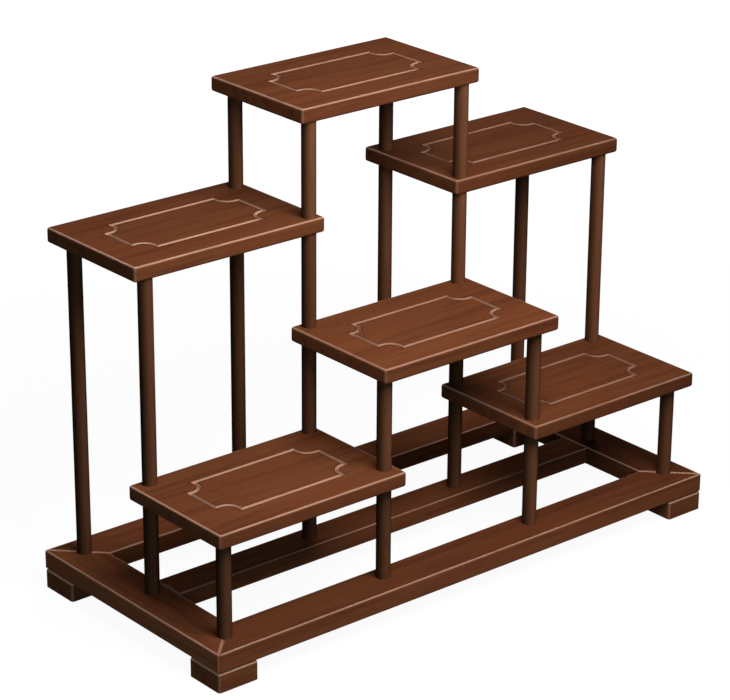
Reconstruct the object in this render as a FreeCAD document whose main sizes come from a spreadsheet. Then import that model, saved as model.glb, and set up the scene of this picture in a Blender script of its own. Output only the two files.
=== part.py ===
import FreeCAD, Part
import math
import os
import re

import Sketcher
from FreeCAD import Placement, Rotation, Vector

# A tiered display stand of dark hardwood: six equal boards at four heights, each on four round
# posts, over a mitred base frame with a middle rail and four square feet.
# X runs along the stand, Y from front to back, Z up, with the origin on the floor under its centre.

doc = FreeCAD.newDocument("tiered_display_shelf")
sheet = doc.addObject("Spreadsheet::Sheet", "Sizes")

# Driving dimensions in millimetres
SIZES = {
    # base frame
    "base_length": 435.0,
    "base_depth": 195.0,
    "rail_width": 32.0,
    "rail_thickness": 13.5,
    "rail_edge_radius": 1.4,
    "joint_chamfer": 1.2,  # eased arris on both sides of a mitre or a shoulder
    "middle_rail_width": 26.0,
    "middle_rail_thickness": 12.2,
    "tenon_shoulder": 5.0,  # the tenons are this much narrower than the middle rail, on each side
    "tenon_thickness": 4.0,
    "tenon_cover": 2.6,  # wood over the tenon, up to the top of the frame
    "tenon_wall": 4.4,  # wood between the end of a mortise and the bolt beyond it
    "least_tenon": 1.5,
    "spline_length": 24.0,
    "spline_width": 14.0,
    "spline_thickness": 3.6,
    "joint_clearance": 0.1,  # all round a tenon or a spline
    # feet
    "foot_height": 13.8,
    "foot_inset": 0.2,  # from the outer faces of the frame
    "foot_reach": 12.2,  # from the axis of the corner post to the inner faces of the foot
    "foot_edge_radius": 2.0,
    # posts
    "post_diameter": 10.0,
    "post_offset": 3.5,  # post axes lie this far inside the centre lines of the outer rails
    # shelves
    "first_rise": 78.5,  # from the top of the frame to the top of the lowest shelves
    "level_rise": 76.5,  # from one level to the next
    "shelf_thickness": 10.4,
    "end_overhang": 10.5,  # from the post axes to the ends of the centre shelf
    "edge_overhang": 10.0,  # mean of the front and the back overhang
    "side_shift": 1.9,  # the side shelves lie this much further out than their posts
    "row_shift": 3.2,  # and each row this much further to the front or the back
    "shelf_corner_radius": 2.2,
    "shelf_edge_radius": 1.8,
    # routed line
    "panel_inset": 23.4,
    "groove_width": 2.8,
    "groove_depth": 1.4,
    "indent_step": 2.8,
    "indent_radius": 9.0,
    # fasteners
    "stud_diameter": 4.0,
    "stud_reach": 12.0,  # length of a stud or bolt inside a post
    "blind_cover": 4.4,  # wood over the end of a blind stud
    "hole_clearance": 0.1,  # round a stud, a bolt or its head, on the radius
    "hole_spare": 0.5,  # depth of a hole beyond the end of its stud
    "head_rim": 1.5,  # from the shank of a bolt to the edge of its head
    "head_height": 4.0,
    "head_recess": 1.5,  # the corner bolts' heads lie this deep in the feet
    "socket_width": 3.0,  # across the flats of the hex socket
    "socket_depth": 2.0,
    "seat_depth": 6.0,  # wood between a rail bolt's head and the top of the frame
}
for line, (alias, value) in enumerate(SIZES.items(), start=1):
    sheet.set(f"A{line}", alias)
    sheet.set(f"B{line}", str(value))
    sheet.setAlias(f"B{line}", alias)
doc.recompute()

# Places that several pieces share, as expressions. A word with an underscore names a size.
BASE_TOP = "(foot_height + rail_thickness)"
POST_INSET = "(rail_width / 2 + post_offset)"
COLUMN_PITCH = f"((base_length - 2 * {POST_INSET}) / 3)"
ROW_PITCH = f"(base_depth / 2 - {POST_INSET})"
SHELF_LENGTH = f"({COLUMN_PITCH} + 2 * end_overhang)"
SHELF_DEPTH = f"({ROW_PITCH} + 2 * edge_overhang)"
STUD_RADIUS = "(stud_diameter / 2)"
HOLE_RADIUS = f"({STUD_RADIUS} + hole_clearance)"
HEAD_RADIUS = f"({STUD_RADIUS} + head_rim)"
BORE_RADIUS = f"({HEAD_RADIUS} + hole_clearance)"
HOLE_DEPTH = "(stud_reach + hole_spare)"
BLIND_REACH = "(shelf_thickness - blind_cover)"
CORNER_SEAT = "(head_height + head_recess)"
RAIL_SEAT = f"({BASE_TOP} - seat_depth)"
TENON_LENGTH = f"max(least_tenon; rail_width - {POST_INSET} - {HOLE_RADIUS} - tenon_wall)"
TENON_HALF_WIDTH = "(middle_rail_width / 2 - tenon_shoulder)"
# from the underside of the outer rails to the underside of the tenons
TENON_HEIGHT = "(rail_thickness - tenon_cover - tenon_thickness)"
HALF_ROOT = "sqrt(0.5)"

# Shelf: column of its left posts, row of its front posts, level
SHELVES = {
    "lower_left": (0, 0, 1),
    "lower_right": (2, 0, 1),
    "centre": (1, 0, 2),
    "upper_left": (0, 1, 3),
    "upper_right": (2, 1, 3),
    "top": (1, 1, 4),
}
CORNERS = {"front_left": (0, 0), "front_right": (1, 0), "back_left": (0, 1), "back_right": (1, 1)}
ALL_ROUND = 360
X_AXIS = Vector(1, 0, 0)
Z_AXIS = Vector(0, 0, 1)
# Limits of rounding: a rounded edge against the thickness of its board and against the round corners
# that it runs into, and an indent against half the depth of the routed panel
EDGE_SHARE = 0.4
CORNER_SHARE = 0.9
INDENT_SHARE = 0.6
CUTTER_SPARE = 0.2  # the cutter rises over the wood by this share of its depth
nodes = []


def full(expression):
    """Puts the sheet's name before every size that the expression names."""
    return re.sub(r"\b([a-z]+(?:_[a-z]+)+)\b", r"Sizes.\1", expression)


def bind(item, **expressions):
    """Binds properties; two underscores in a name stand for a dot."""
    for name, expression in expressions.items():
        item.setExpression(name.replace("__", "."), full(expression))


def number(expression):
    """The present value of an expression, for a starting sketch."""
    return float(sheet.evalExpression(full(expression)))


def place(item, x="0", y="0", z="0", turn=0):
    """Sets a piece down at a point that follows the sizes, turned about the vertical."""
    item.Placement = Placement(Vector(), Rotation(Z_AXIS, turn))
    bind(item, Placement__Base__x=x, Placement__Base__y=y, Placement__Base__z=z)


def new_body(label):
    body = doc.addObject("PartDesign::Body", label)
    body.Label = label
    nodes.append(body)
    return body


def new_sketch(body, name, plane="XY_Plane", height="0"):
    """A sketch on one of the body's own planes, raised by a height that follows the sizes."""
    sketch = body.newObject("Sketcher::SketchObject", f"{body.Label}_{name}")
    support = next(item for item in body.Origin.OriginFeatures if item.Role == plane)
    sketch.AttachmentSupport = (support, "")
    sketch.MapMode = "FlatFace"
    bind(sketch, AttachmentOffset__Base__z=height)
    return sketch


def locate(sketch, geometry, point, x, y):
    """Holds one point of a sketch at coordinates given as expressions."""
    for kind, expression in (("DistanceX", x), ("DistanceY", y)):
        constraint = Sketcher.Constraint(kind, -1, 1, geometry, point, number(expression))
        index = sketch.addConstraint(constraint)
        sketch.setExpression(f"Constraints[{index}]", full(expression))


def hold_radius(sketch, geometry, radius):
    index = sketch.addConstraint(Sketcher.Constraint("Radius", geometry, number(radius)))
    sketch.setExpression(f"Constraints[{index}]", full(radius))


def quarter_turn(start, end):
    """A quarter circle that turns clockwise from one point to another."""
    chord = end - start
    rise = math.tan(math.pi / 8) / 2
    return Part.Arc(start, (start + end) * 0.5 + Vector(-chord.y, chord.x, 0) * rise, end)


def outline(sketch, points, rounded=(), radius=None):
    """A closed outline through points given as pairs of expressions.

    Its sides are straight, apart from the numbered ones in rounded, which are quarter circles.
    """
    corners = [Vector(number(x), number(y), 0) for x, y in points]
    count = len(points)
    sides = []
    for index, start in enumerate(corners):
        end = corners[(index + 1) % count]
        curve = quarter_turn(start, end) if index in rounded else Part.LineSegment(start, end)
        sides.append(sketch.addGeometry(curve))
    # the ends of a clockwise arc come the other way round
    heads = [2 if index in rounded else 1 for index in range(count)]
    for index, (x, y) in enumerate(points):
        following = (index + 1) % count
        tail = 3 - heads[index]
        sketch.addConstraint(
            Sketcher.Constraint("Coincident", sides[index], tail, sides[following], heads[following]))
        if index in rounded:
            hold_radius(sketch, sides[index], radius)
        locate(sketch, sides[index], heads[index], x, y)


def rectangle(sketch, half_x, half_y, centre_x="0", centre_y="0"):
    signs = (("-", "-"), ("+", "-"), ("+", "+"), ("-", "+"))
    outline(sketch, [(f"{centre_x} {a} {half_x}", f"{centre_y} {b} {half_y}") for a, b in signs])


def circle(sketch, radius, x, y):
    middle = Vector(number(x), number(y), 0)
    index = sketch.addGeometry(Part.Circle(middle, Z_AXIS, number(radius)))
    locate(sketch, index, 3, x, y)
    hold_radius(sketch, index, radius)


def pad(body, sketch, length):
    feature = body.newObject("PartDesign::Pad", f"{sketch.Name}_pad")
    feature.Profile = sketch
    bind(feature, Length=length)
    doc.recompute()
    return feature


def pocket(body, sketch, depth):
    """Cuts upwards from the sketch, and makes sure that wood was removed."""
    before = body.Shape.Volume
    feature = body.newObject("PartDesign::Pocket", f"{sketch.Name}_pocket")
    feature.Profile = sketch
    feature.Reversed = True
    bind(feature, Length=depth)
    doc.recompute()
    if body.Shape.Volume >= before:
        raise RuntimeError(f"{feature.Name} removed nothing")
    return feature


def ease(body, kind, radius, wanted):
    """Rounds ("Fillet") or bevels ("Chamfer") the edges that the test picks out."""
    base = body.Tip
    edges = [f"Edge{i}" for i, edge in enumerate(base.Shape.Edges, start=1) if wanted(edge)]
    feature = body.newObject(f"PartDesign::{kind}", f"{body.Label}_{kind.lower()}")
    feature.Base = (base, edges)
    bind(feature, **{"Radius" if kind == "Fillet" else "Size": radius})
    doc.recompute()
    return feature


def runs_along(edge, axis):
    start, end = (edge.valueAt(at) for at in edge.ParameterRange)
    return edge.Curve.TypeId == "Part::GeomLine" and abs((end - start).normalize().dot(axis)) > 0.999


def lies_at(edge, height):
    return max(abs(vertex.Z - height) for vertex in edge.Vertexes) < 0.001


def column_x(column):
    return f"{column - 1.5} * {COLUMN_PITCH}"


def row_y(row):
    return f"{row - 1} * {ROW_PITCH}"


def level_top(level):
    """Height of the top of a level; level 0 is the frame."""
    return f"({BASE_TOP} + first_rise + {level - 1} * level_rise)" if level else BASE_TOP


def bolt_bores(body, places, thickness):
    """Bolt holes through a rail, widened from below to take the heads."""
    holes = new_sketch(body, "bolt_holes")
    bores = new_sketch(body, "head_bores")
    for x, y in places:
        circle(holes, HOLE_RADIUS, x, y)
        circle(bores, BORE_RADIUS, x, y)
    pocket(body, holes, thickness)
    pocket(body, bores, f"{thickness} - seat_depth")


def diagonal_box(along, across, x, y, side):
    """Corners of a box that lies along a mitre, centred on x, y; side is -1 left, 1 right."""
    points = []
    for a, b in ((-1, -1), (1, -1), (1, 1), (-1, 1)):
        points.append((
            f"{x} + {side} * ({b} * {across} - {a} * {along}) * {HALF_ROOT}",
            f"{y} + ({a} * {along} + {b} * {across}) * {HALF_ROOT}",
        ))
    return points


def mitred_rail(label, length, bolts, x, y, turn, mortised=False):
    """A flat rail in its own frame: outer edge on the X axis, inside towards +Y, mitred at both ends."""
    body = new_body(label)
    half = f"{length} / 2"
    plan = new_sketch(body, "plan")
    outline(plan, [
        (f"-{half}", "0"),
        (half, "0"),
        (f"{half} - rail_width", "rail_width"),
        (f"-({half} - rail_width)", "rail_width"),
    ])
    pad(body, plan, "rail_thickness")
    ease(body, "Chamfer", "joint_chamfer", lambda edge: not runs_along(edge, X_AXIS))
    ease(body, "Fillet", f"min(rail_edge_radius; {EDGE_SHARE} * rail_thickness)",
         lambda edge: runs_along(edge, X_AXIS))
    corner_holes = new_sketch(body, "corner_holes")
    slot_height = "(rail_thickness - spline_thickness) / 2 - joint_clearance"
    slots = new_sketch(body, "spline_slots", height=slot_height)
    for side in (-1, 1):
        site = f"{side} * ({half} - {POST_INSET})"
        circle(corner_holes, HOLE_RADIUS, site, POST_INSET)
        outline(slots, diagonal_box(
            "(spline_length / 2 + joint_clearance)", "(spline_width / 2 + joint_clearance)",
            site, POST_INSET, side))
    pocket(body, corner_holes, "rail_thickness")
    pocket(body, slots, "spline_thickness + 2 * joint_clearance")
    bolt_bores(body, [(bolt, POST_INSET) for bolt in bolts], "rail_thickness")
    if mortised:
        mortise = new_sketch(body, "mortise", height=f"{TENON_HEIGHT} - joint_clearance")
        depth = f"({TENON_LENGTH} + joint_clearance)"
        rectangle(mortise, f"({TENON_HALF_WIDTH} + joint_clearance)", depth, centre_y="rail_width")
        pocket(body, mortise, "tenon_thickness + 2 * joint_clearance")
    place(body, x, y, "foot_height", turn)


def middle_rail():
    """The rail under the middle row of posts, tenoned into the left and right rails."""
    body = new_body("middle_rail")
    plan = new_sketch(body, "plan")
    rectangle(plan, "(base_length / 2 - rail_width)", "middle_rail_width / 2")
    pad(body, plan, "middle_rail_thickness")
    ease(body, "Chamfer", "joint_chamfer", lambda edge: not runs_along(edge, X_AXIS))
    ease(body, "Fillet", f"min(rail_edge_radius; {EDGE_SHARE} * middle_rail_thickness)",
         lambda edge: runs_along(edge, X_AXIS))
    tenons = new_sketch(body, "tenons", height=f"{TENON_HEIGHT} - rail_thickness + middle_rail_thickness")
    rectangle(tenons, f"(base_length / 2 - rail_width + {TENON_LENGTH})", TENON_HALF_WIDTH)
    pad(body, tenons, "tenon_thickness")
    bolt_bores(body, [(column_x(column), "0") for column in (1, 2)], "middle_rail_thickness")
    place(body, z=f"{BASE_TOP} - middle_rail_thickness")


def foot(label, x_sign, y_sign, turn):
    """A square foot with its outer corner at its own origin, bored for the corner bolt."""
    body = new_body(label)
    site = f"({POST_INSET} - foot_inset)"
    half = f"({site} + foot_reach) / 2"
    plan = new_sketch(body, "plan")
    rectangle(plan, half, half, half, half)
    pad(body, plan, "foot_height")
    height = number("foot_height")
    ease(body, "Fillet", f"min(foot_edge_radius; {EDGE_SHARE} * foot_height)",
         lambda edge: lies_at(edge, height) or runs_along(edge, Z_AXIS))
    hole = new_sketch(body, "bolt_hole")
    circle(hole, HOLE_RADIUS, site, site)
    pocket(body, hole, "foot_height")
    bore = new_sketch(body, "head_bore")
    circle(bore, BORE_RADIUS, site, site)
    pocket(body, bore, CORNER_SEAT)
    place(body, f"{x_sign} * (base_length / 2 - foot_inset)", f"{y_sign} * (base_depth / 2 - foot_inset)",
          turn=turn)


def mitre_spline(label, column, row, turn):
    """A loose tongue across a mitre, with a hole for the corner bolt."""
    body = new_body(label)
    plan = new_sketch(body, "plan")
    rectangle(plan, "spline_length / 2", "spline_width / 2")
    circle(plan, HOLE_RADIUS, "0", "0")
    pad(body, plan, "spline_thickness")
    place(body, column_x(column), row_y(row), "foot_height + (rail_thickness - spline_thickness) / 2", turn)


def level_below(column, row, level):
    """The level that a post at this site stands on."""
    return max([stop for stop in stops(column, row) if stop < level], default=0)


def stops(column, row):
    """Levels of the shelves that have a corner at this site."""
    return [level for left, front, level in SHELVES.values()
            if column in (left, left + 1) and row in (front, front + 1)]


def post(label, column, row, level):
    """A round post between two levels, drilled along its axis at both ends."""
    bottom = level_top(level_below(column, row, level))
    length = f"({level_top(level)} - shelf_thickness - {bottom})"
    body = new_body(label)
    section = new_sketch(body, "half_section", "XZ_Plane")
    outline(section, [
        ("0", HOLE_DEPTH),
        (HOLE_RADIUS, HOLE_DEPTH),
        (HOLE_RADIUS, "0"),
        ("post_diameter / 2", "0"),
        ("post_diameter / 2", length),
        (HOLE_RADIUS, length),
        (HOLE_RADIUS, f"{length} - {HOLE_DEPTH}"),
        ("0", f"{length} - {HOLE_DEPTH}"),
    ])
    turned = body.newObject("PartDesign::Revolution", f"{label}_turned")
    turned.Profile = section
    turned.ReferenceAxis = (section, ["V_Axis"])
    turned.Angle = ALL_ROUND
    place(body, column_x(column), row_y(row), bottom)


def indented_path(sketch):
    """The routed line: a rectangle whose corners step in and then turn round a quarter circle.

    It starts and ends in the middle of the front line, where the cutter goes in.
    """
    far_x = f"({SHELF_LENGTH} / 2 - panel_inset)"
    far_y = f"({SHELF_DEPTH} / 2 - panel_inset)"
    # a step is never shorter than the line is wide, so the mitred corners of the line stay clear of the arc
    step = "max(indent_step; groove_width)"
    radius = f"min(indent_radius; {INDENT_SHARE} * {far_y} - {step})"
    indent = f"({step} + {radius})"
    points = [("0", f"-{far_y}")]
    rounded = []
    for x, y in ((1, -1), (1, 1), (-1, 1), (-1, -1)):
        from_long_side = [
            (f"{x} * ({far_x} - {indent})", f"{y} * {far_y}"),
            (f"{x} * ({far_x} - {indent})", f"{y} * ({far_y} - {step})"),
            (f"{x} * ({far_x} - {step})", f"{y} * ({far_y} - {indent})"),
            (f"{x} * {far_x}", f"{y} * ({far_y} - {indent})"),
        ]
        rounded.append(len(points) + 1)
        points += from_long_side if x * y < 0 else from_long_side[::-1]
    outline(sketch, points, rounded, radius)


def routed_line(body):
    """Cuts the V-shaped line into the top of a shelf."""
    path = new_sketch(body, "routed_path", height="shelf_thickness")
    indented_path(path)
    section = new_sketch(body, "cutter", "YZ_Plane")
    front = f"-({SHELF_DEPTH} / 2 - panel_inset)"
    half_width = f"(1 + {CUTTER_SPARE}) * groove_width / 2"
    top = f"shelf_thickness + {CUTTER_SPARE} * groove_depth"
    outline(section, [
        (front, "shelf_thickness - groove_depth"),
        (f"{front} + {half_width}", top),
        (f"{front} - {half_width}", top),
    ])
    before = body.Shape.Volume
    groove = body.newObject("PartDesign::SubtractivePipe", f"{body.Label}_groove")
    groove.Profile = section
    groove.Spine = (path, [])
    groove.Transition = "Right corner"
    doc.recompute()
    if body.Shape.Volume >= before:
        raise RuntimeError(f"{groove.Name} removed nothing")


def shelf_centre(left, front):
    """Centre of a shelf: the middle of its four posts, shifted outwards."""
    x = f"({column_x(left + 0.5)} + {left - 1} * side_shift)"
    y = f"({row_y(front + 0.5)} + {2 * front - 1} * row_shift)"
    return x, y


def shelf(label, left, front, level):
    """A board with rounded corners and edges, its routed line, and a hole over each of its posts."""
    body = new_body(label)
    plan = new_sketch(body, "plan")
    rectangle(plan, f"{SHELF_LENGTH} / 2", f"{SHELF_DEPTH} / 2")
    pad(body, plan, "shelf_thickness")
    ease(body, "Fillet", "shelf_corner_radius", lambda edge: runs_along(edge, Z_AXIS))
    thickness = number("shelf_thickness")
    limits = f"{EDGE_SHARE} * shelf_thickness; {CORNER_SHARE} * shelf_corner_radius"
    ease(body, "Fillet", f"min(shelf_edge_radius; {limits})",
         lambda edge: lies_at(edge, 0) or lies_at(edge, thickness))
    routed_line(body)
    x, y = shelf_centre(left, front)
    through, blind = [], []
    for step_x, step_y in CORNERS.values():
        column, row = left + step_x, front + step_y
        site = (f"{column_x(column)} - {x}", f"{row_y(row)} - {y}")
        goes_on = max(stops(column, row)) > level
        (through if goes_on else blind).append(site)
    for name, sites, depth in (
        ("through_holes", through, "shelf_thickness"),
        ("blind_holes", blind, f"{BLIND_REACH} + hole_spare"),
    ):
        if sites:
            holes = new_sketch(body, name)
            for site in sites:
                circle(holes, HOLE_RADIUS, *site)
            pocket(body, holes, depth)
    place(body, x, y, f"{level_top(level)} - shelf_thickness")


def rod(name, radius, length, x, y, z):
    item = doc.addObject("Part::Cylinder", name)
    bind(item, Radius=radius, Height=length)
    place(item, x, y, z)
    return item


def socket_bolt(name, seat, x, y):
    """A bolt that points up from its seat, with a hex socket in its head."""
    shank = rod(f"{name}_shank", STUD_RADIUS, f"{BASE_TOP} + stud_reach - {seat}", x, y, seat)
    head = rod(f"{name}_head", HEAD_RADIUS, "head_height", x, y, f"{seat} - head_height")
    blank = doc.addObject("Part::Fuse", f"{name}_blank")
    blank.Base = shank
    blank.Tool = head
    key = doc.addObject("Part::Prism", f"{name}_key")
    key.Polygon = 6
    bind(key, Circumradius="socket_width / sqrt(3)", Height="socket_depth")
    place(key, x, y, f"{seat} - head_height")
    bolt = doc.addObject("Part::Cut", name)
    bolt.Base = blank
    bolt.Tool = key
    return bolt


def group(label, items):
    """Identical fasteners kept together under one name, as separate solids."""
    node = doc.addObject("Part::Compound", label)
    node.Label = label
    node.Links = items
    nodes.append(node)


def studs():
    """Studs through the shelves where a post goes on above, and blind ones where it ends."""
    through, blind = [], []
    for name, (left, front, level) in SHELVES.items():
        for corner, (step_x, step_y) in CORNERS.items():
            column, row = left + step_x, front + step_y
            bottom = f"{level_top(level)} - shelf_thickness - stud_reach"
            if max(stops(column, row)) > level:
                length = "shelf_thickness + 2 * stud_reach"
                where = through
            else:
                length = f"stud_reach + {BLIND_REACH}"
                where = blind
            stud = rod(f"{name}_stud_{corner}", STUD_RADIUS, length, column_x(column), row_y(row), bottom)
            where.append(stud)
    group("through_studs", through)
    group("blind_studs", blind)


def bolts():
    """Bolts from below into every post that stands on the frame."""
    corner, rail = [], []
    for column in range(4):
        for row in range(3):
            name = f"bolt_{column}_{row}"
            x, y = column_x(column), row_y(row)
            if column in (0, 3) and row in (0, 2):
                corner.append(socket_bolt(name, CORNER_SEAT, x, y))
            else:
                rail.append(socket_bolt(name, RAIL_SEAT, x, y))
    group("corner_bolts", corner)
    group("rail_bolts", rail)


# Base frame
inner_columns = [column_x(1), column_x(2)]
mitred_rail("front_rail", "base_length", inner_columns, "0", "-base_depth / 2", 0)
mitred_rail("back_rail", "base_length", inner_columns, "0", "base_depth / 2", 180)
mitred_rail("left_rail", "base_depth", ["0"], "-base_length / 2", "0", -90, mortised=True)
mitred_rail("right_rail", "base_depth", ["0"], "base_length / 2", "0", 90, mortised=True)
middle_rail()
for name, x_sign, y_sign, column, row, turn in (
    ("front_left", -1, -1, 0, 0, 0),
    ("front_right", 1, -1, 3, 0, 90),
    ("back_right", 1, 1, 3, 2, 180),
    ("back_left", -1, 1, 0, 2, -90),
):
    foot(f"{name}_foot", x_sign, y_sign, turn)
    mitre_spline(f"{name}_mitre_spline", column, row, turn + 45)

# Shelves, each with the four posts under it
for name, (left, front, level) in SHELVES.items():
    shelf(f"{name}_shelf", left, front, level)
    for corner, (step_x, step_y) in CORNERS.items():
        post(f"{name}_post_{corner}", left + step_x, front + step_y, level)

# Fasteners
studs()
bolts()
doc.recompute()

# Every feature has to be sound before anything is written
for item in doc.Objects:
    if "Invalid" in item.State or "Error" in item.State:
        raise RuntimeError(f"{item.Label} failed: {item.State}")
for node in nodes:
    if node.Shape.isNull() or not node.Shape.isValid():
        raise RuntimeError(f"{node.Label} has no valid shape")
os.makedirs("parts", exist_ok=True)
for node in nodes:
    node.Shape.exportStep(f"parts/{node.Label}.step")
whole = Part.makeCompound([node.Shape for node in nodes])
box = whole.BoundBox
print(f"{len(nodes)} nodes, {len(whole.Solids)} solids")
print(f"size {box.XLength:.1f} x {box.YLength:.1f} x {box.ZLength:.1f} mm, lowest {box.ZMin:.3f}")
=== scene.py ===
# %% [markdown]
# # A tiered display stand in dark lacquered wood
#
# Six small boards stand at four heights over a mitred base frame, each on four round posts. The
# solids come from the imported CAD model, in metres. Their eased edges and routed lines are already
# true curves with smooth normals, so every solid stays as it is. This script gives them their
# finishes, a pale floor and soft studio light.

import math

import bpy
import numpy as np
from mathutils import Matrix, Vector

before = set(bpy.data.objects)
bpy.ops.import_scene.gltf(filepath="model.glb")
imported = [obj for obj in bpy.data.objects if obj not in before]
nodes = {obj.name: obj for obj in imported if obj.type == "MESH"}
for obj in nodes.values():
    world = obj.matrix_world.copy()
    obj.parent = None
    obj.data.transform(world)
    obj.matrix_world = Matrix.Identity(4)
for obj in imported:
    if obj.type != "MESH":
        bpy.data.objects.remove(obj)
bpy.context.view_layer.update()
scene = bpy.context.scene

# %% [markdown]
# ## Camera
#
# A long lens far away keeps the posts nearly parallel. The eye, the view direction and the small
# roll were worked out from the corners of the boards, so the render and the photograph share one
# frame. The lens in millimetres is the focal length in pixels, scaled from the picture's width to
# the sensor's.

# %% Camera
PICTURE_WIDTH = 730
FOCAL_PIXELS = 2839.3
SENSOR = 36.0
EYE = Vector((-1.1631, -1.3639, 0.8747))
VIEW = Vector((0.5961, 0.7096, -0.3757)).normalized()
ROLL = math.radians(0.36)

camera = bpy.data.objects.new("camera", bpy.data.cameras.new("camera"))
camera.data.sensor_width = SENSOR
camera.data.lens = FOCAL_PIXELS / PICTURE_WIDTH * SENSOR
camera.rotation_mode = "QUATERNION"
camera.location = EYE
upright = VIEW.to_track_quat("-Z", "Y").to_matrix()
camera.rotation_quaternion = (upright @ Matrix.Rotation(ROLL, 3, "Z")).to_quaternion()
scene.collection.objects.link(camera)
scene.camera = camera
print("camera lens in mm:", round(camera.data.lens, 1), "distance in m:", round(EYE.length, 2))


# %% [markdown]
# ## Shader arithmetic
#
# A finish is mostly arithmetic on noise. This small class wraps an output socket, so that sums and
# products of sockets are written as Python and become Math nodes. One method adds any other node.
# The few short methods below it are the steps that every finish here uses.

# %% Sockets that add and multiply
class Flow:
    """An output socket in a node tree. Arithmetic on it adds Math nodes; node() adds any other node."""

    def __init__(self, tree, socket=None):
        self.tree = tree
        self.socket = socket

    def node(self, kind, settings=None, inputs=None, output=0):
        """Adds a node: its settings first, then a value or a link for each named or numbered socket."""
        made = self.tree.nodes.new(kind)
        for name, value in (settings or {}).items():
            setattr(made, name, value)
        for key, value in (inputs or {}).items():
            self.feed(made.inputs[key], value)
        return Flow(self.tree, made.outputs[output])

    def feed(self, socket, value):
        """Links a flow into a socket, or sets the socket's own value."""
        if isinstance(value, Flow):
            self.tree.links.new(value.socket, socket)
        else:
            socket.default_value = value

    def math(self, operation, first, second):
        return self.node("ShaderNodeMath", {"operation": operation}, {0: first, 1: second})

    def __add__(self, other):
        return self.math("ADD", self, other)

    def __sub__(self, other):
        return self.math("SUBTRACT", self, other)

    def __rsub__(self, other):
        return self.math("SUBTRACT", other, self)

    def __mul__(self, other):
        return self.math("MULTIPLY", self, other)

    __radd__ = __add__
    __rmul__ = __mul__

    def __pow__(self, other):
        return self.math("POWER", self, other)

    def __abs__(self):
        return self.math("ABSOLUTE", self, 0.0)

    def maximum(self, other):
        return self.math("MAXIMUM", self, other)

    def parts(self):
        """The x, y and z of this vector."""
        split = self.node("ShaderNodeSeparateXYZ", None, {0: self})
        return [Flow(self.tree, socket) for socket in split.socket.node.outputs]

    def step(self, low, high):
        """0 below low, 1 above high and a smooth rise between."""
        inputs = {"Value": self, "From Min": low, "From Max": high}
        return self.node("ShaderNodeMapRange", {"interpolation_type": "SMOOTHSTEP"}, inputs)

    def noise(self, scale, detail, roughness):
        """Noise at this vector, 0 to 1."""
        inputs = {"Vector": self, "Scale": scale, "Detail": detail, "Roughness": roughness}
        return self.node("ShaderNodeTexNoise", None, inputs)

    def times(self, vector):
        """This vector multiplied by another, side by side."""
        return self.node("ShaderNodeVectorMath", {"operation": "MULTIPLY"}, {0: self, 1: vector})

    def scaled(self, factor):
        """This colour or vector, made larger or smaller by one factor."""
        return self.node("ShaderNodeVectorMath", {"operation": "SCALE"}, {0: self, "Scale": factor})

    def blend(self, first, second):
        """Mixes two colours by this value."""
        return self.node("ShaderNodeMix", {"data_type": "RGBA"}, {0: self, 6: first, 7: second}, output=2)


def new_material(name):
    """An empty material: the material, a flow to start from and its Principled shader."""
    material = bpy.data.materials.new(name)
    material.use_nodes = True
    tree = material.node_tree
    return material, Flow(tree), tree.nodes["Principled BSDF"]


def srgb(red, green, blue):
    """A colour as a picture shows it, 0 to 255, turned into linear light."""
    shown = np.array([red, green, blue]) / 255
    return np.where(shown <= 0.04045, shown / 12.92, ((shown + 0.055) / 1.055) ** 2.4)


def opaque(colour, tone=1.0):
    """A linear colour, made lighter or darker by a factor, as a socket takes it."""
    return (*(np.asarray(colour) * tone), 1.0)


def dress(names, material):
    """Gives one material to the named CAD nodes."""
    for name in names:
        nodes[name].data.materials.clear()
        nodes[name].data.materials.append(material)
    print(material.name, "on", len(names), "nodes")


# %% [markdown]
# ## Wood
#
# The wood is a dark reddish-brown hardwood under a thin satin lacquer. Its figure is noise on the
# object's own coordinates, drawn out along the fibres: the coordinate along the grain is multiplied
# by a small number, the two across it by a large one. Broad bands set the colour and patches make
# some of it redder. Long dark streaks, fine fibres and short pores darken it. The fibres lift the
# lacquer a little, by a few hundredths of a millimetre.

# %% Wood figure
STREAK_DARK = srgb(78, 41, 26)
FIBRE_DARK = srgb(82, 43, 27)
PORE_DARK = srgb(58, 30, 20)
BUMP_HEIGHT = 0.00003
# scale along the grain, scale across it, detail and roughness of each noise
BANDS = 7, 60, 3.0, 0.55
STREAKS = 8, 140, 3.0, 0.6
FIBRES = 22, 620, 4.0, 0.62
PORES = 90, 2600, 2.0, 0.5


def drawn_out(place, grain, along, across, detail, roughness):
    """Noise at place times (along, across, across), whose spots are long streaks on the grain axis."""
    scales = [along if axis == grain else across for axis in "xyz"]
    return place.times(scales).noise(1.0, detail, roughness)


def figure(place, grain, hues, tone, contrast):
    """The colour of flat wood, and its fibres; hues are the deep, the pale and the ruddy brown."""
    deep, pale, ruddy = (opaque(hue, tone) for hue in hues)
    bands = drawn_out(place, grain, *BANDS)
    streaks = drawn_out(place, grain, *STREAKS)
    fibres = drawn_out(place, grain, *FIBRES)
    pores = drawn_out(place, grain, *PORES)
    patches = place.noise(14.0, 2.0, 0.5)
    colour = bands.step(0.28, 0.72).blend(deep, pale)
    colour = (patches.step(0.4, 0.75) * 0.5).blend(colour, ruddy)
    colour = ((1 - streaks.step(0.34, 0.52)) * contrast).blend(colour, opaque(STREAK_DARK, tone))
    colour = ((1 - fibres.step(0.33, 0.6)) * 0.2).blend(colour, opaque(FIBRE_DARK, tone))
    colour = ((1 - pores.step(0.3, 0.42)) * 0.3).blend(colour, opaque(PORE_DARK, tone))
    return colour, fibres


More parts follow.
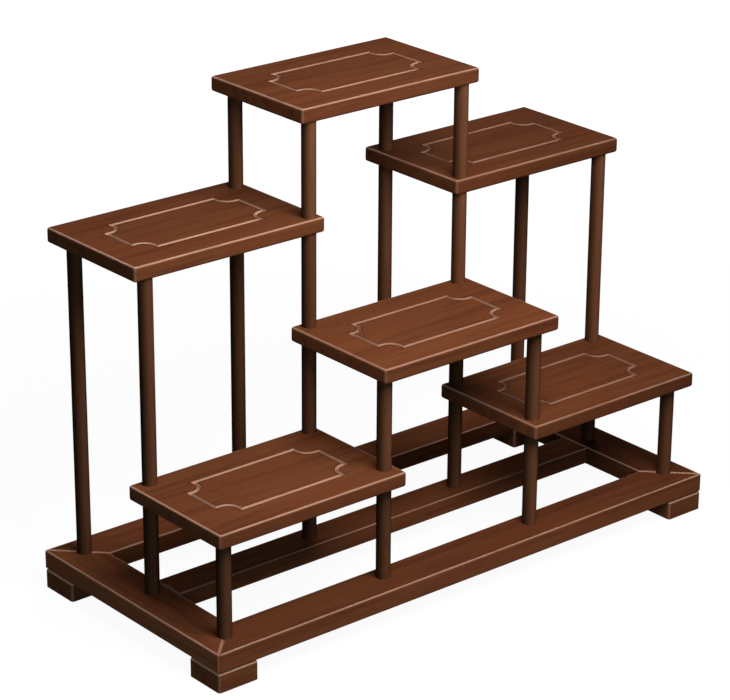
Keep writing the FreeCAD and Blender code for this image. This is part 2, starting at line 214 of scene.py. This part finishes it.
# %% [markdown]
# ## Painted shade beside the routed line
#
# A thin dark seam, a painted shade, follows the line on both sides and darkens the line itself. With
# u and v as the distances from the middle of the board, a and b as the half sides of the line's
# rectangle, s as the step and r as the radius of an indent, the line is where this is 0:
#
# max(u - a, v - b, r - hypot(u - a + s, v - b + s))
#
# Close to the line its absolute value is the distance from it. The sizes are those of the solid, in
# metres.

# %% Painted shade beside the routed line
PANEL_INSET = 0.0234
LINE_WIDTH = 0.0028
INDENT_STEP = 0.0028
INDENT_RADIUS = 0.009
LIP = 0.0013
# how dark the painted shade in and beside the routed line is
LIP_PAINTED_SHADE = 0.55


def paint_line_shade(place, middle, half_sides):
    """Painted shade: 1 in the routed line and at its lips, 0 from a lip's width on; only where the
    surface looks up.
    """
    a, b = half_sides - PANEL_INSET
    x, y, _ = place.parts()
    u = abs(x - middle[0])
    v = abs(y - middle[1])
    from_corner = ((u - (a - INDENT_STEP)) ** 2 + (v - (b - INDENT_STEP)) ** 2) ** 0.5
    gap = abs((u - a).maximum(v - b).maximum(INDENT_RADIUS - from_corner))
    height = place.node("ShaderNodeNewGeometry", output="Normal").parts()[2]
    return (1 - gap.step(LINE_WIDTH / 2, LINE_WIDTH / 2 + LIP)) * height.step(0.5, 0.9)


# %% [markdown]
# ## Worn edges and painted highlights
#
# On every upper edge the stain is rubbed thin, and the routed line was cut through it: both show a
# pale tan, partly wear and partly a painted highlight. The tilt of the surface finds them. With n as
# the normal's height, a flat top has n = 1, a wall n = 0, and the wall of the V line n = 0.7. So the
# mask rises from 0 to 1 up the edge and falls again just short of 1. A routed wall that runs along
# the board, facing its front or back, gets more of the tan than one across the end: that difference
# is a painted highlight. The upright corners at the front left and the back right get a little
# painted highlight too. Slow noise along the edge makes some places paler than others. A round post
# has no such edge.

# %% Wood with worn edges and painted highlights
# pale tan of the upper edges: partly wear, partly a painted highlight
EDGE_TAN_AND_HIGHLIGHT = srgb(214, 165, 138)
EDGE_SHINE = 0.6
EDGE_ROUGHNESS = 0.32
# strength of a painted highlight on the upright corners
CORNER_HIGHLIGHT = 0.22
LACQUER_ROUGHNESS = 0.42
FIBRE_ROUGHNESS = 0.12
# painted light and shade on the posts: the share at the sides, and what is added at front and back
POST_SIDE_SHADE = 0.45
POST_FRONT_LIGHT = 0.7


def worn_and_highlit_edges(place, turn):
    """How pale each upper edge is, rubbed thin and with a painted highlight, and the shine of the rubbed
    edge; turn is where the mask rises.
    """
    side, depth, height = place.node("ShaderNodeNewGeometry", output="Normal").parts()
    edge = height.step(*turn) * (1 - height.step(0.955, 0.995))
    routed = height.step(0.67, 0.7) * (1 - height.step(0.715, 0.745))
    # painted highlight: walls facing front or back get more tan than walls across the ends
    along = (abs(depth) + side * depth * 0.7).step(0.3, 0.6)
    # painted highlight on the upright front-left and back-right corners
    corner_highlight = (side * depth).step(0.2, 0.42) * CORNER_HIGHLIGHT
    edge_patchiness = place.noise(45.0, 3.0, 0.6).step(0.2, 0.6) * 0.35 + 0.65
    worn_and_highlit = (edge * (1 + routed * (along * 0.4 - 0.15)) + corner_highlight) * edge_patchiness
    return worn_and_highlit, worn_and_highlit * (1 - routed) * EDGE_SHINE


def paint_post_shade(place, colour):
    """A post's colour times a share that grows from its sides to its front and its back: painted shade at
    the sides, painted light at the front and back.
    """
    depth = place.node("ShaderNodeNewGeometry", output="Normal").parts()[1]
    return colour.scaled(depth * depth * POST_FRONT_LIGHT + POST_SIDE_SHADE)


def paint_face_light(place, colour, share):
    """A rail's colour, times a share on its upright faces: painted light or shade on those faces."""
    height = place.node("ShaderNodeNewGeometry", output="Normal").parts()[2]
    return colour.scaled((1 - height.step(0.3, 0.7)) * (share - 1) + 1)


def wood(name, grain, hues, tone=1.0, contrast=0.36, wear_and_highlight=0.6, turn=(0.4, 0.8), sheen=0.0015, line=None,
         painted_post_shade=False, painted_face_light=1.0):
    """Lacquered wood with its fibres along one axis, and pale upper edges, rubbed and with a painted
    highlight, when their share is over 0.

    line is the middle and the half sides of a board with a routed line, which gets painted shade in and
    beside it. A round post gets painted light at its front and back and painted shade at its sides. The
    share of a rail's colour on its upright faces paints light or shade there.
    """
    material, start, shader = new_material(name)
    place = start.node("ShaderNodeTexCoord", output="Object")
    colour, fibres = figure(place, grain, hues, tone, contrast)
    # painted light at a post's front and back, painted shade at its sides
    if painted_post_shade:
        colour = paint_post_shade(place, colour)
    # painted light or shade on a rail's upright faces
    if painted_face_light != 1:
        colour = paint_face_light(place, colour, painted_face_light)
    if line:
        # painted shade in and beside the routed line, in the pore colour
        colour = (paint_line_shade(place, *line) * LIP_PAINTED_SHADE).blend(colour, opaque(PORE_DARK))
    # pale upper edges: wear and a painted highlight
    if wear_and_highlight:
        worn_and_highlit, shine = worn_and_highlit_edges(place, turn)
        colour = (worn_and_highlit * wear_and_highlight).blend(colour, opaque(EDGE_TAN_AND_HIGHLIGHT))
        start.feed(shader.inputs["Coat Weight"], shine)
        shader.inputs["Coat Roughness"].default_value = EDGE_ROUGHNESS
    start.feed(shader.inputs["Base Color"], colour)
    start.feed(shader.inputs["Roughness"], fibres * FIBRE_ROUGHNESS + LACQUER_ROUGHNESS)
    inputs = {"Height": fibres, "Distance": BUMP_HEIGHT, "Strength": 1.0}
    start.feed(shader.inputs["Normal"], start.node("ShaderNodeBump", None, inputs))
    shader.inputs["Specular IOR Level"].default_value = sheen
    return material


# %% [markdown]
# ## Boards
#
# Each board has its own tone, and the pale tan on its upper edges, wear and painted highlight, has its
# own strength. The grain runs along the length of a board, which is x. Because the noise is taken at
# the place of each board, no two boards show the same figure.

# %% Boards
BOARD_HUES = srgb(119, 66, 41), srgb(127, 74, 45), srgb(129, 67, 40)
# tone of each board, and the strength of its pale edges: wear and a painted highlight
BOARD_TONES_WEAR_AND_HIGHLIGHT = {
    "top_shelf": (0.94, 0.55),
    "upper_left_shelf": (0.94, 0.7),
    "upper_right_shelf": (0.85, 0.42),
    "centre_shelf": (1.05, 0.48),
    "lower_left_shelf": (1.03, 0.68),
    "lower_right_shelf": (0.99, 0.4),
}

for board, (tone, wear_and_highlight) in BOARD_TONES_WEAR_AND_HIGHLIGHT.items():
    box = np.array(nodes[board].bound_box)
    low, high = box.min(axis=0)[:2], box.max(axis=0)[:2]
    line = (low + high) / 2, (high - low) / 2
    dress([board], wood(board + "_wood", "x", BOARD_HUES, tone, wear_and_highlight=wear_and_highlight, line=line))

# %% [markdown]
# ## Base frame
#
# The front, back and middle rails run along x and the two end rails along y, so the fibres meet at
# an angle in the mitres. That is what makes a mitre visible. Each rail is a strip of its own with its
# own tone, and its upright faces are made lighter or darker than its top: a painted light and shade.
# The dark right rail carries painted shade from the board above it. The feet are short blocks with
# the grain along x. Their rounded upper edge is pale tan right down to the wall, worn and with a
# painted highlight.

# %% Base frame
# axis of the grain, tone of the top and the share of it on the upright faces, a painted light or shade
RAIL_GRAINS_TONES_AND_FACE_LIGHT = {
    "front_rail": ("x", 0.82, 1.65),
    "back_rail": ("x", 1.15, 0.6),
    "middle_rail": ("x", 1.2, 1.2),
    "left_rail": ("y", 1.15, 1.7),
    # the right rail's low tone is a painted shade under the lower right board
    "right_rail": ("y", 0.6, 1.2),
}

for rail, (grain, tone, painted_face_light) in RAIL_GRAINS_TONES_AND_FACE_LIGHT.items():
    dress([rail], wood(rail + "_wood", grain, BOARD_HUES, tone, wear_and_highlight=0.7, painted_face_light=painted_face_light))
feet = [name for name in nodes if name.endswith("_foot")]
# the feet's upper edge is pale down to the wall: wear and a painted highlight
dress(feet, wood("foot_wood", "x", BOARD_HUES, 1.25, wear_and_highlight=0.8, turn=(0.1, 0.4)))

# %% [markdown]
# ## Posts
#
# A turned post has upright fibres and no upper edge to wear. Its wood is a little less red. Its front
# and its back are painted paler and its sides darker: a painted light and shade. The four posts of
# one shelf share a tone.

# %% Posts
POST_HUES = srgb(110, 69, 46), srgb(120, 77, 52), srgb(118, 69, 45)
POST_TONES = {
    "top": 1.0,
    "upper_left": 0.78,
    "upper_right": 1.1,
    "centre": 1.0,
    "lower_left": 0.82,
    "lower_right": 1.05,
}

for shelf, tone in POST_TONES.items():
    posts = [name for name in nodes if name.startswith(shelf + "_post_")]
    # every post gets painted light at front and back and painted shade at its sides
    dress(posts, wood(shelf + "_post_wood", "z", POST_HUES, tone, 0.15, wear_and_highlight=0, sheen=0.0, painted_post_shade=True))

# %% [markdown]
# ## Hidden pieces
#
# Splines lie across the mitres, and steel studs and bolts hold the posts. They are out of sight,
# yet they get true finishes, so that the part can be taken apart or cut open. Brushed steel is
# metal whose roughness varies in fine streaks along the bar.

# %% Splines and fasteners
SPLINE_HUES = srgb(168, 128, 92), srgb(186, 148, 110), srgb(176, 132, 94)
STEEL_DARK = 0.5, 0.5, 0.51
STEEL_PALE = 0.62, 0.62, 0.63
BRUSH_MARKS = 60, 3000, 3.0, 0.6


def brushed_steel(name):
    """Bare steel with fine streaks along z."""
    material, start, shader = new_material(name)
    place = start.node("ShaderNodeTexCoord", output="Object")
    streaks = drawn_out(place, "z", *BRUSH_MARKS)
    colour = streaks.step(0.3, 0.7).blend(opaque(STEEL_DARK), opaque(STEEL_PALE))
    start.feed(shader.inputs["Base Color"], colour)
    start.feed(shader.inputs["Roughness"], streaks * 0.2 + 0.25)
    shader.inputs["Metallic"].default_value = 1.0
    return material


splines = [name for name in nodes if "spline" in name]
fasteners = [name for name in nodes if "stud" in name or "bolt" in name]
dress(splines, wood("spline_wood", "x", SPLINE_HUES, wear_and_highlight=0))
dress(fasteners, brushed_steel("fastener_steel"))

# %% [markdown]
# ## Floor and background
#
# The stand is shown on white. To the camera, and to any ray that is mirrored or passes through,
# floor and world are bright. To the scattered light that shapes the wood they are dark, so the
# light comes from the lamps alone. The floor keeps some true colour beside its glow, and that is
# where the soft shadow falls. It lies a hair below the feet, so that no two faces share one plane.

# %% Floor and world
FLOOR_HALF = 9.0
FLOOR_TOP = -0.0003
FLOOR_SHOWN = [0.11] * 3
FLOOR_SCATTERED = 0.08, 0.1, 0.11
WORLD_SCATTERED = 0.011, 0.014, 0.016
GLOW_NEAR = [0.945] * 3
BLACK = [0.0] * 3
WHITE = [1.0] * 3


def shown_rays(start):
    """1 for rays that make the picture, 0 for scattered light."""
    path = start.node("ShaderNodeLightPath")
    outputs = path.socket.node.outputs
    kinds = ("Is Camera Ray", "Is Glossy Ray", "Is Transmission Ray")
    seen, mirrored, through = (Flow(start.tree, outputs[kind]) for kind in kinds)
    return (seen + mirrored + through).step(0.0, 1.0)


turns = ((-1, -1), (1, -1), (1, 1), (-1, 1))
corners = [(FLOOR_HALF * x, FLOOR_HALF * y, FLOOR_TOP) for x, y in turns]
floor = bpy.data.objects.new("floor", bpy.data.meshes.new("floor"))
floor.data.from_pydata(corners, [], [(0, 1, 2, 3)])
scene.collection.objects.link(floor)

material, start, shader = new_material("pale_floor")
shown = shown_rays(start)
place = start.node("ShaderNodeTexCoord", output="Object")
away = place.node("ShaderNodeVectorMath", {"operation": "LENGTH"}, {0: place}, output="Value")
glow = away.step(0.3, 1.0).blend(opaque(GLOW_NEAR), opaque(WHITE))
start.feed(shader.inputs["Base Color"], shown.blend(opaque(FLOOR_SCATTERED), opaque(FLOOR_SHOWN)))
start.feed(shader.inputs["Emission Color"], shown.blend(opaque(BLACK), glow))
shader.inputs["Emission Strength"].default_value = 1.0
shader.inputs["Roughness"].default_value = 1.0
shader.inputs["Specular IOR Level"].default_value = 0.0
floor.data.materials.append(material)

world = bpy.data.worlds.new("studio")
world.use_nodes = True
scene.world = world
start = Flow(world.node_tree)
background = world.node_tree.nodes["Background"]
lit = shown_rays(start).blend(opaque(WORLD_SCATTERED), opaque(WHITE))
start.feed(background.inputs["Color"], lit)
print("floor side in m:", 2 * FLOOR_HALF)

# %% [markdown]
# ## Lamps
#
# The key lamp hangs close in front of the stand and above it, so the boards darken from the top one
# down. A wide lamp overhead evens out the tops. A weak cool fill beside the camera opens the faces
# on the left. One more lamp, low behind, lights the sides that the camera doesn't see, so the stand
# can be shown from all round.

# %% Lamps
def softbox(name, place, aim, side, power, colour=(1.0, 1.0, 1.0), mirrored=True):
    """A square lamp at a place, turned to its aim; side in metres, power in watts.

    A lamp that isn't mirrored leaves no shine on the lacquer.
    """
    lamp = bpy.data.objects.new(name, bpy.data.lights.new(name, "AREA"))
    lamp.data.shape = "SQUARE"
    lamp.data.size = side
    lamp.data.energy = power
    lamp.data.color = colour
    lamp.visible_camera = False
    lamp.visible_glossy = mirrored
    lamp.location = place
    lamp.rotation_mode = "QUATERNION"
    lamp.rotation_quaternion = (Vector(aim) - Vector(place)).to_track_quat("-Z", "Y")
    scene.collection.objects.link(lamp)
    print(name, "lamp:", power, "W at", place)


softbox("key", (-0.1, -0.42, 0.7), (0.0, 0.0, 0.17), 0.45, 4.7)
softbox("overhead", (0.0, 0.1, 1.9), (0.0, 0.0, 0.0), 1.0, 2.2)
softbox("fill", (-1.07, -0.92, 0.5), (0.0, 0.0, 0.15), 0.6, 2.5, (0.65, 1.05, 1.3))
softbox("back", (1.1, 1.2, 0.25), (0.0, 0.0, 0.15), 0.5, 6.5, mirrored=False)

# %% [markdown]
# ## View transform
#
# The colours are shown with the standard view transform.

# %% View transform
scene.view_settings.view_transform = "Standard"
